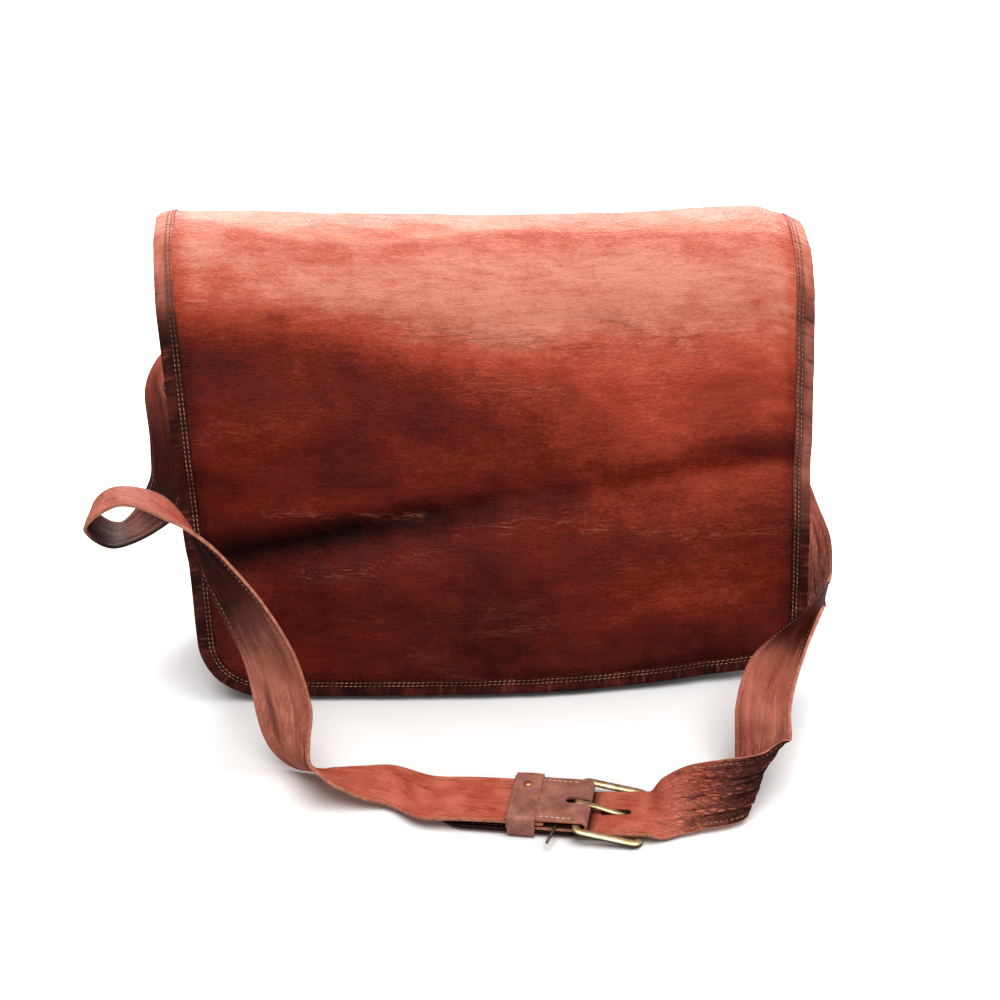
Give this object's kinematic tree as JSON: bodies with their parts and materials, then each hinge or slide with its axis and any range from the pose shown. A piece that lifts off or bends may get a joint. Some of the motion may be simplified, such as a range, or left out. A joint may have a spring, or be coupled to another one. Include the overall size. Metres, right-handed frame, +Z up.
{
  "type": "leather messenger bag",
  "caption": "Upright leather messenger bag with a full bound flap over its front and a buckled shoulder strap lying on the floor before it.",
  "frame": {"origin": "middle of the flat base, on the surface that the bag stands on", "axes": "+X to the right of the flap seen from the front, +Y towards the back panel, +Z up"},
  "size_m": [0.5019, 0.2992, 0.3246],
  "materials": {
    "bag_leather": "waxed, patchy red-brown",
    "binding_leather": "dark, crinkled",
    "strap_leather": "wrinkled, orange-brown",
    "tab_leather": "smooth brown",
    "brass": "aged, satin",
    "dark_steel": "darkened"
  },
  "bodies": {
    "root": {"front_panel": "bag_leather", "back_panel": "bag_leather", "gusset": "bag_leather", "flap": "bag_leather", "flap_binding": "binding_leather", "strap_left": "strap_leather", "strap_right": "strap_leather", "buckle_tab": "tab_leather", "strap_keeper": "tab_leather", "keeper_rivet": "brass", "tab_pin": "dark_steel", "buckle_frame": "brass", "buckle_prong": "brass"}
  },
  "joints": []
}
